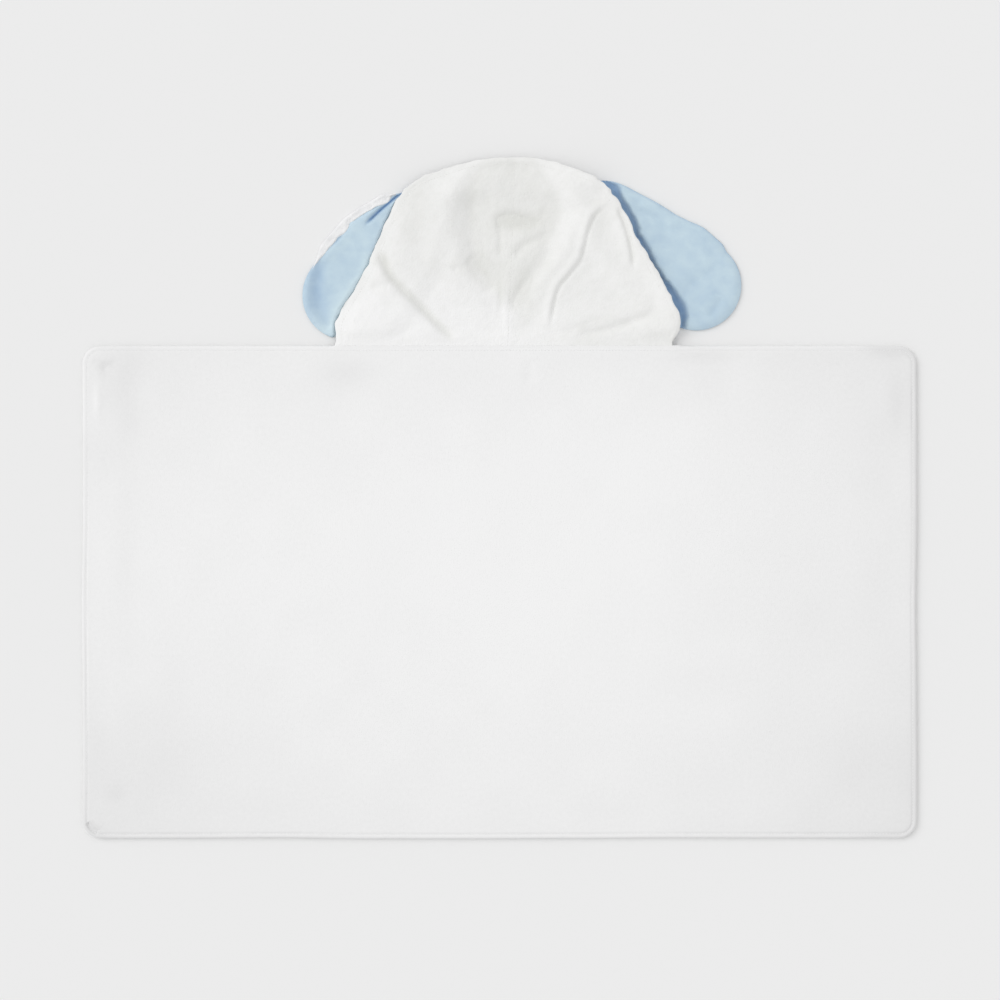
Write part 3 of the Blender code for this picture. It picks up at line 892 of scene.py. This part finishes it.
# Edge of the hood's hollow, from the crown down its left side and up its right side; inside it the lining
# gets painted shade
HOLLOW_EDGE = (
    (-0.033, 0.206),
    (-0.048, 0.168),
    (-0.047, 0.112),
    (-0.031, 0.073),
    (-0.004, 0.036),
    (0.014, 0.050),
    (0.040, 0.090),
    (0.061, 0.125),
    (0.066, 0.152),
    (0.054, 0.180),
    (0.036, 0.206),
)

# The long folds of the hood's left and right, from near the neck outwards; the left one also gets painted
# shade
LEFT_FOLD = (
    (-0.058, 0.004),
    (-0.0666, 0.0137),
    (-0.081, 0.028),
    (-0.098, 0.0455),
    (-0.116, 0.063),
    (-0.1286, 0.0774),
    (-0.1357, 0.0933),
    (-0.1375, 0.106),
)
RIGHT_FOLD = (
    (0.046, 0.016),
    (0.0486, 0.032),
    (0.0519, 0.0505),
    (0.0574, 0.0647),
    (0.0684, 0.078),
    (0.0793, 0.092),
    (0.0837, 0.105),
    (0.0892, 0.127),
    (0.098, 0.144),
    (0.116, 0.155),
)

# Creases of the hood: points from the middle of the neck (across, up), depth, width, heap on the left; their
# depth also sets painted shade in the lining
HOOD_CREASES = (
    (LEFT_FOLD, 0.0044, 0.0050, 0.0036),
    (RIGHT_FOLD, 0.0019, 0.0021, 0.0018),
    (((0.1385, 0.083), (0.135, 0.108), (0.128, 0.132), (0.119, 0.152)), 0.0034, 0.0029, 0.0012),
    (((0.070, 0.008), (0.115, 0.019), (0.168, 0.038)), 0.0020, 0.0050, 0.0016),
    (((0.030, 0.004), (0.080, 0.020), (0.120, 0.040)), 0.0008, 0.0060, 0.0008),
    (((-0.0085, 0.096), (-0.0080, 0.118), (-0.0100, 0.140)), 0.0011, 0.0034, 0.0006),
    (((-0.016, 0.137), (0.002, 0.141), (0.020, 0.137), (0.040, 0.134)), 0.0024, 0.0060, 0.0014),
    (((0.0035, 0.036), (0.018, 0.062), (0.034, 0.084), (0.052, 0.108)), 0.0026, 0.0070, 0.0016),
    (((0.006, 0.096), (0.022, 0.112), (0.046, 0.122)), 0.0016, 0.0050, 0.0014),
    (((-0.050, 0.184), (-0.010, 0.195), (0.030, 0.190)), 0.0014, 0.0070, 0.0006),
    (((-0.044, 0.098), (-0.028, 0.080), (-0.016, 0.056)), 0.0018, 0.0080, 0.0),
    (((-0.150, 0.060), (-0.140, 0.066), (-0.128, 0.064)), 0.0012, 0.0050, 0.0008),
    (((-0.060, 0.080), (-0.054, 0.086), (-0.046, 0.084)), 0.0010, 0.0040, 0.0006),
)

# Soft hollows of the hood: place, half size across and up, and strength, which also sets their painted shade
# and light in the lining
HOOD_HOLLOWS = (
    ((-0.100, 0.150), (0.022, 0.050), -0.28),
    ((0.022, 0.044), (0.018, 0.032), -0.62),
    ((0.013, 0.135), (0.023, 0.010), -0.74),
    ((-0.014, 0.072), (0.013, 0.018), -0.34),
    ((-0.034, 0.088), (0.012, 0.014), -0.30),
    ((-0.041, 0.160), (0.010, 0.030), -0.22),
    ((0.045, 0.060), (0.012, 0.030), -0.15),
    ((0.100, 0.140), (0.012, 0.020), -0.20),
    ((-0.008, 0.055), (0.003, 0.016), -0.30),
    ((0.0, 0.030), (0.004, 0.030), 0.25),
)


def hood_lift(across, up, rim, settings):
    """How far the loose cloth stands up: round the hollow, and along the rim at the right."""
    inward, share = along_line(across, up, HOLLOW_EDGE)
    wall = smooth((0.012 - inward) / 0.026)
    falling = 1 - 0.60 * smooth((-inward - 0.012) / 0.040)
    sides = 0.22 + 0.78 * smooth(np.abs(share - 0.42) / 0.22)
    crown = smooth((HOOD_HEIGHT - up) / 0.030)
    lift = settings.slack * wall * falling * sides * (0.25 + 0.75 * crown)
    lift *= 1 - smooth(-across / 0.05) * smooth(1 - rim / 0.034)
    right = smooth((across - 0.060) / 0.040) * smooth((up - 0.004) / 0.030)
    shoulder = bell(across + 0.100, 0.030) * bell(up - 0.178, 0.020)
    return lift + (settings.rim_lift * right + 0.0030 * shoulder) * bell(rim, 0.016)


def hood_layers(x, y, settings):
    """Heights of the hood's outer side and its inner side, at each place."""
    across, up = x - NECK.x, y - NECK.y
    rim = np.maximum(hood_inside(x, y), 0)
    ground = hood_underside(x, y)
    lift = hood_lift(across, up, rim, settings)
    left_rim = smooth(-across / 0.05) * smooth(1 - rim / 0.020)
    top = ground + lift + 2 * CLOTH * (1 - 0.55 * left_rim) + 0.0030 * patches(across, up, HOOD_HOLLOWS)
    top += 0.0009 * swell(x, y, 0.050, 31) + 0.0006 * swell(x, y, 0.021, 32)
    top += 0.00025 * swell(x, y, 0.009, 33) + creases(across, up, HOOD_CREASES)
    seam = np.abs(across - settings.seam_lean * up / HOOD_HEIGHT)
    sunk = 0.30 + 0.70 * between(up, 0.012, 0.012, 0.070, 0.020)
    top -= settings.seam_depth * sunk * np.exp(-seam / 0.0028)
    near_neck = smooth(1 - up / 0.020)
    sewn_down = FACE_HIGH.z - 0.0002 - 0.0004 * smooth(-up / 0.0006)
    top = top * (1 - near_neck) + sewn_down * near_neck
    under = ground + 0.85 * lift * (1 - near_neck)
    return under, np.maximum(top, under + 0.0014)


def hood_painted_shade(x, y):
    """Painted shade on the hood's lining: greyer and creamier towards the crown, in its hollow and its
    creases and at the right side's turned-in lower corner, white towards the neck, with some random
    unevenness.
    """
    across, up = x - NECK.x, y - NECK.y
    inward, _ = along_line(across, up, HOLLOW_EDGE)
    painted_shade_and_tone = 0.68 + 0.32 * smooth((0.095 - up) / 0.07) * smooth((0.09 - across) / 0.06)
    # Painted shade in the soft hollows and inside the hollow's edge
    painted_shade_and_tone += 0.75 * patches(across, up, HOOD_HOLLOWS) - 0.24 * smooth((inward - 0.001) / 0.012)
    painted_shade_and_tone += 0.06 * swell(x, y, 0.019, 52) + 0.04 * swell(x, y, 0.008, 53)
    # Painted shade in the creases and along the long left fold
    painted_shade_and_tone += crease_painted_shade(across, up, HOOD_CREASES, 60) + crease(across, up, LEFT_FOLD, 0.34, 0.0048, fade=0.12)
    # A painted shadow at the right side's turned-in lower corner
    return painted_shade_and_tone - 0.6 * bell(across - 0.182, 0.004) * bell(up - 0.004, 0.005)


def rim_outline(side, share):
    """Places along half of the hood's rim, across and up, by the share of its length from the neck."""
    side_length = math.hypot(HOOD_BASE_HALF - SHOULDER_HALF, SHOULDER_RISE)
    shoulder_angle = math.atan2(SHOULDER_RISE - HOOD_HEIGHT + CROWN_RADIUS, SHOULDER_HALF)
    crown_length = CROWN_RADIUS * (math.pi / 2 - shoulder_angle)
    travelled = share * (side_length + crown_length)
    side_share = np.clip(travelled / side_length, 0, 1)
    angle = shoulder_angle + np.maximum(travelled - side_length, 0) / CROWN_RADIUS
    on_side = travelled <= side_length
    side_x = HOOD_BASE_HALF + (SHOULDER_HALF - HOOD_BASE_HALF) * side_share
    side_x += side_bow(side_share, side == "right")
    rim_x = np.where(on_side, side_x, CROWN_RADIUS * np.cos(angle))
    crown_y = HOOD_HEIGHT - CROWN_RADIUS + CROWN_RADIUS * np.sin(angle)
    rim_y = np.where(on_side, SHOULDER_RISE * side_share, crown_y)
    rim_y = rim_y - crown_drop(rim_x, rim_y)
    cut = shoulder_cut(rim_x if side == "right" else -rim_x, rim_y)
    return rim_x - CUT_ACROSS * cut, rim_y - CUT_UP * cut


def hood_grid(side, rows, columns, settings):
    """Places that fill half of the hood, from the centre seam to the rim, and a little into the neck."""
    sign = -1 if side == "left" else 1
    share = gathered(rows, 0.3)
    rim_x, rim_y = rim_outline(side, share)
    rise = HOOD_HEIGHT * share
    lean = sign * settings.seam_lean
    middle_x = lean * share + SEAM_GAP
    rim_x += lean * smooth((rim_y - SHOULDER_RISE) / CROWN_RISE) * np.clip(1 - rim_x / SHOULDER_HALF, 0, 1)
    part = gathered(columns, 0.85)[None, :]
    across = middle_x[:, None] + (np.maximum(rim_x, middle_x) - middle_x)[:, None] * part
    up = rise[:, None] + (rim_y - rise)[:, None] * part
    return NECK.x + sign * across, NECK.y + up - SEWN_IN * (1 - smooth(up / 0.003))


def rim_wobble(side, x, y, rim):
    """How far the hood's edge strays, with the right side's lower corner turned in."""
    wobble = (0.0010 * swell(x, y, 0.011, 43) + 0.0005 * swell(x, y, 0.005, 44)) * np.exp(-rim / 0.004)
    wobble *= smooth((y - NECK.y) / 0.006)
    if side == "right":
        wobble -= 0.0080 * smooth((0.017 + NECK.y - y) / 0.010) * np.exp(-rim / 0.008)
    return wobble


def make_hood_half(side, settings):
    """The inner and the outer cloth of one half, which meet between their rolled edges."""
    x, y = hood_grid(side, 190, 150, settings)
    rim = np.maximum(hood_inside(x, y), 0)
    under, top = hood_layers(x, y, settings)
    middle = under + (top - under) * 0.45
    stitched = 1 - settings.rim_groove * bell(rim - settings.rim_inset, 0.0018)
    top = middle + (under + (top - under) * stitched - middle) * roundness(rim, 0.0055)
    top += (0.00016 * swell(x, y, 0.0034, 41) + 0.00011 * swell(x, y, 0.0019, 42)) * smooth(rim / 0.002)
    low = np.minimum(middle - (middle - under) * roundness(rim, 0.0034), middle - LAYER_GAP)
    wobble = rim_wobble(side, x, y, rim)
    places = (x + wobble * np.sign(x - NECK.x), y + wobble * 0.6)
    cloths = (
        ("inner", "lining", (top, middle + LAYER_GAP / 2), hood_painted_shade, (0.0021, 0.0003)),
        ("outer", "shell", (middle - LAYER_GAP / 2, low), even_tone, (0.0022, 0.0008)),
    )
    for name, node, heights, painted_shade_and_tone, pile in cloths:
        cloth = terry(f"hood_{side}_{name}_terry", settings.colour, settings.shade, *pile)
        finish = (cloth, None, f"hood_{node}_{side}", "white_terry")
        piece = lay_cloth(f"hood_{side}_{name}_cloth", places, heights, painted_shade_and_tone, *finish)
        hang_on_neck(piece)


def hang_on_neck(piece):
    """Bakes the piece's placing into its mesh."""
    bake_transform(piece)


def rim_path(inset):
    """Points along the hood's rim at an inset, from its left foot over the crown to its right foot."""
    halves = []
    for side, sign in (("left", -1), ("right", 1)):
        points = np.stack(rim_outline(side, np.linspace(0.035, 1.0, 80)), -1)
        run = np.gradient(points, axis=0)
        run /= np.linalg.norm(run, axis=1)[:, None]
        points += np.stack([-run[:, 1], run[:, 0]], -1) * inset
        halves.append(points[points[:, 0] > 0.001] * (sign, 1))
    return resampled(np.concatenate([halves[0], halves[1][::-1]]), STITCH_SPACING)


def sew_on_hood(name, x, y, height, thread, replaced):
    """Fine stitches on the hood."""
    piece = stitches(name, np.stack([x, y, height], -1), 0.0, radius=0.0003)
    dress(piece, thread, None, replaced, "white_thread")
    hang_on_neck(piece)


def make_hood_stitches(settings):
    """The stitches along the hood's rim and down its centre seam."""
    thread = spun_thread("hood_thread", settings.thread_colour)
    across, up = rim_path(settings.rim_inset).T
    x, y = NECK.x + across, NECK.y + up
    under, top = hood_layers(x, y, settings)
    height = under + (top - under) * (1 - settings.rim_groove) - 0.00022
    sew_on_hood("hood_rim_stitches", x, y, height, thread, "hood_rim_stitching")
    up = np.linspace(0.012, HOOD_HEIGHT - 0.008, 90)
    x, y = NECK.x + settings.seam_lean * up / HOOD_HEIGHT, NECK.y + up
    _, top = hood_layers(x, y, settings)
    sew_on_hood("hood_centre_stitches", x, y, top - 0.0002, thread, "hood_centre_stitching")


# The studio


def lay_floor(settings):
    """A pale floor just under the towel."""
    bpy.ops.mesh.primitive_plane_add(size=FLOOR_SIDE, location=(0.0, 0.0, -FLOOR_DROP))
    floor = bpy.context.active_object
    floor.name = "floor"
    material, _ = new_material("pale_floor", settings.floor, 0.9)
    floor.data.materials.append(material)


def light_studio(scene, settings):
    """Even light from all round, and a wide soft lamp from the upper left."""
    world = bpy.data.worlds.new("studio")
    world.use_nodes = True
    background = world.node_tree.nodes["Background"]
    background.inputs["Color"].default_value = (1.0, 1.0, 1.0, 1.0)
    background.inputs["Strength"].default_value = settings.sky
    scene.world = world
    bpy.ops.object.light_add(type="SUN", location=LAMP_PLACE)
    lamp = bpy.context.active_object
    lamp.name = "soft_lamp"
    lamp.data.energy = settings.lamp
    lamp.data.angle = LAMP_SPREAD
    lamp.rotation_euler = Vector(LAMP_AIM).to_track_quat("-Z", "Y").to_euler()


def place_camera(scene, settings):
    """A camera straight above, at the height from which the lens takes in the field."""
    height = settings.field * LENS / SENSOR
    bpy.ops.object.camera_add(location=(CAMERA_X, CAMERA_Y, height), rotation=(0.0, 0.0, 0.0))
    camera = bpy.context.active_object
    camera.data.lens = LENS
    camera.data.sensor_width = SENSOR
    camera.data.clip_end = FAR_CLIP
    scene.camera = camera
    scene.view_settings.view_transform = "Standard"


# Settings


def number_property(name, description, default):
    return FloatProperty(name=name, description=description, default=default)


def length_property(name, description, default):
    return FloatProperty(name=name, description=description, default=default, unit="LENGTH")


def colour_property(name, description, default):
    return FloatVectorProperty(name=name, description=description, subtype="COLOR", default=default)


class BodySettings(bpy.types.PropertyGroup):
    corner: length_property("Corner", "Radius of the body's corners", BODY_CORNER)
    stitch_inset: length_property("Stitch inset", "How far the topstitch lies from the edge", 0.0048)
    groove: length_property("Groove", "How deep the topstitch sinks", 0.0013)
    edge_round: length_property("Edge round", "How far in the edge rolls", 0.0042)
    colour: colour_property("Face", "Colour of the smooth face", (0.900, 0.899, 0.900))
    # The face shade is the colour of the face's painted shade, and of the random unevenness of the terry back
    shade: colour_property("Face shade", "Colour of the face's greyest parts", (0.762, 0.761, 0.762))
    back_colour: colour_property("Back", "Colour of the terry back", (0.89, 0.892, 0.88))
    thread_colour: colour_property("Thread", "Colour of the thread", (0.88, 0.88, 0.88))


class EarSettings(bpy.types.PropertyGroup):
    puff: length_property("Puff", "How far the free part of an ear rises", 0.0030)
    white_strip: length_property("White strip", "White cloth that shows at the left ear's outer edge", 0.0090)
    colour: colour_property("Front", "Colour of the cotton front", (0.645, 0.788, 0.860))
    # The front shade is the colour of the painted shade in the blue's folds and of the painted shadow by the
    # hood's rim
    shade: colour_property("Front shade", "Colour of the front's deepest folds", (0.10, 0.24, 0.50))
    back_colour: colour_property("Back", "Colour of the terry back", (0.90, 0.90, 0.905))
    back_shade: colour_property("Back shade", "Colour of the back's greyest parts", (0.70, 0.705, 0.72))
    thread_colour: colour_property("Thread", "Colour of the thread", (0.58, 0.74, 0.85))


class HoodSettings(bpy.types.PropertyGroup):
    slack: length_property("Slack", "How high the loose cloth stands round the hollow", 0.0070)
    rim_lift: length_property("Rim lift", "How high the rim stands at the right", 0.0062)
    rim_inset: length_property("Rim stitch inset", "How far the rim's stitches lie in", 0.0070)
    rim_groove: number_property("Rim groove", "Share of the cloth that the rim's stitches press in", 0.02)
    seam_lean: length_property("Seam lean", "How far the centre seam leans at the crown", 0.008)
    seam_depth: length_property("Seam depth", "How deep the centre seam sinks", 0.0006)
    colour: colour_property("Terry", "Colour of the hood's terry", (0.905, 0.904, 0.903))
    # The terry shade is the colour of the lining's painted shade, and of the outer cloth's random unevenness
    shade: colour_property("Terry shade", "Colour of the terry in its hollows", (0.747, 0.751, 0.722))
    thread_colour: colour_property("Thread", "Colour of the thread", (0.87, 0.87, 0.85))


class StudioSettings(bpy.types.PropertyGroup):
    floor: colour_property("Floor", "Colour of the floor", (0.855, 0.855, 0.855))
    sky: number_property("Sky", "Strength of the light from all round", 0.80)
    lamp: number_property("Lamp", "Strength of the soft lamp at the upper left", 0.85)
    field: length_property("Field", "Width of the camera's field at the towel", 1.0972)


# Operators


class TOWEL_OT_body(bpy.types.Operator):
    """Lays the body's two cloths and the topstitch round them"""

    bl_idname = "towel.body"
    bl_label = "Body"

    def execute(self, context):
        make_body(context.scene.towel_body)
        make_body_stitches(context.scene.towel_body)
        return {"FINISHED"}


class TOWEL_OT_ears(bpy.types.Operator):
    """Lays both ears, each a blue front on a white back"""

    bl_idname = "towel.ears"
    bl_label = "Ears"

    def execute(self, context):
        for side in ("left", "right"):
            make_ear(side, context.scene.towel_ears)
        return {"FINISHED"}


class TOWEL_OT_hood(bpy.types.Operator):
    """Lays the hood's inner and outer cloths in two halves, and stitches its rim and centre seam"""

    bl_idname = "towel.hood"
    bl_label = "Hood"

    def execute(self, context):
        for side in ("left", "right"):
            make_hood_half(side, context.scene.towel_hood)
        make_hood_stitches(context.scene.towel_hood)
        return {"FINISHED"}


class TOWEL_OT_small_parts(bpy.types.Operator):
    """Gives the frame's own tacks, neck seam and label their finishes"""

    bl_idname = "towel.small_parts"
    bl_label = "Tacks, neck seam and label"

    def execute(self, context):
        settings = context.scene.towel_body
        thread = spun_thread("bead_thread", settings.thread_colour, object_places, strand=0.0005)
        for name in ("neck_seam", "ear_left_tack", "ear_right_tack"):
            frame["nodes"][name].data.materials[0] = thread
        frame["nodes"]["care_label"].data.materials[0] = satin("label_ribbon", (0.85, 0.85, 0.84))
        return {"FINISHED"}


class TOWEL_OT_studio(bpy.types.Operator):
    """Makes the pale floor, the soft light and the camera straight above"""

    bl_idname = "towel.studio"
    bl_label = "Studio"

    def execute(self, context):
        settings = context.scene.towel_studio
        bpy.ops.object.select_all(action="DESELECT")
        lay_floor(settings)
        light_studio(context.scene, settings)
        place_camera(context.scene, settings)
        return {"FINISHED"}


class TOWEL_PT_panel(bpy.types.Panel):
    """Lists the steps that build the towel"""

    bl_label = "Hooded Baby Towel"
    bl_idname = "TOWEL_PT_panel"
    bl_space_type = "VIEW_3D"
    bl_region_type = "UI"
    bl_category = "Towel"

    def draw(self, context):
        for operator in OPERATORS:
            self.layout.operator(operator.bl_idname)


SETTINGS = {
    "towel_body": BodySettings,
    "towel_ears": EarSettings,
    "towel_hood": HoodSettings,
    "towel_studio": StudioSettings,
}
OPERATORS = (TOWEL_OT_body, TOWEL_OT_ears, TOWEL_OT_hood, TOWEL_OT_small_parts, TOWEL_OT_studio)


def register():
    for cls in (*SETTINGS.values(), *OPERATORS, TOWEL_PT_panel):
        bpy.utils.register_class(cls)
    for name, cls in SETTINGS.items():
        setattr(bpy.types.Scene, name, PointerProperty(type=cls))


def unregister():
    for name in SETTINGS:
        delattr(bpy.types.Scene, name)
    for cls in reversed((*SETTINGS.values(), *OPERATORS, TOWEL_PT_panel)):
        bpy.utils.unregister_class(cls)


def main():
    register()
    bpy.ops.object.select_all(action="DESELECT")
    bpy.ops.towel.body()
    bpy.ops.towel.ears()
    bpy.ops.towel.hood()
    bpy.ops.towel.small_parts()
    bpy.ops.towel.studio()


if __name__ == "__main__":
    main()
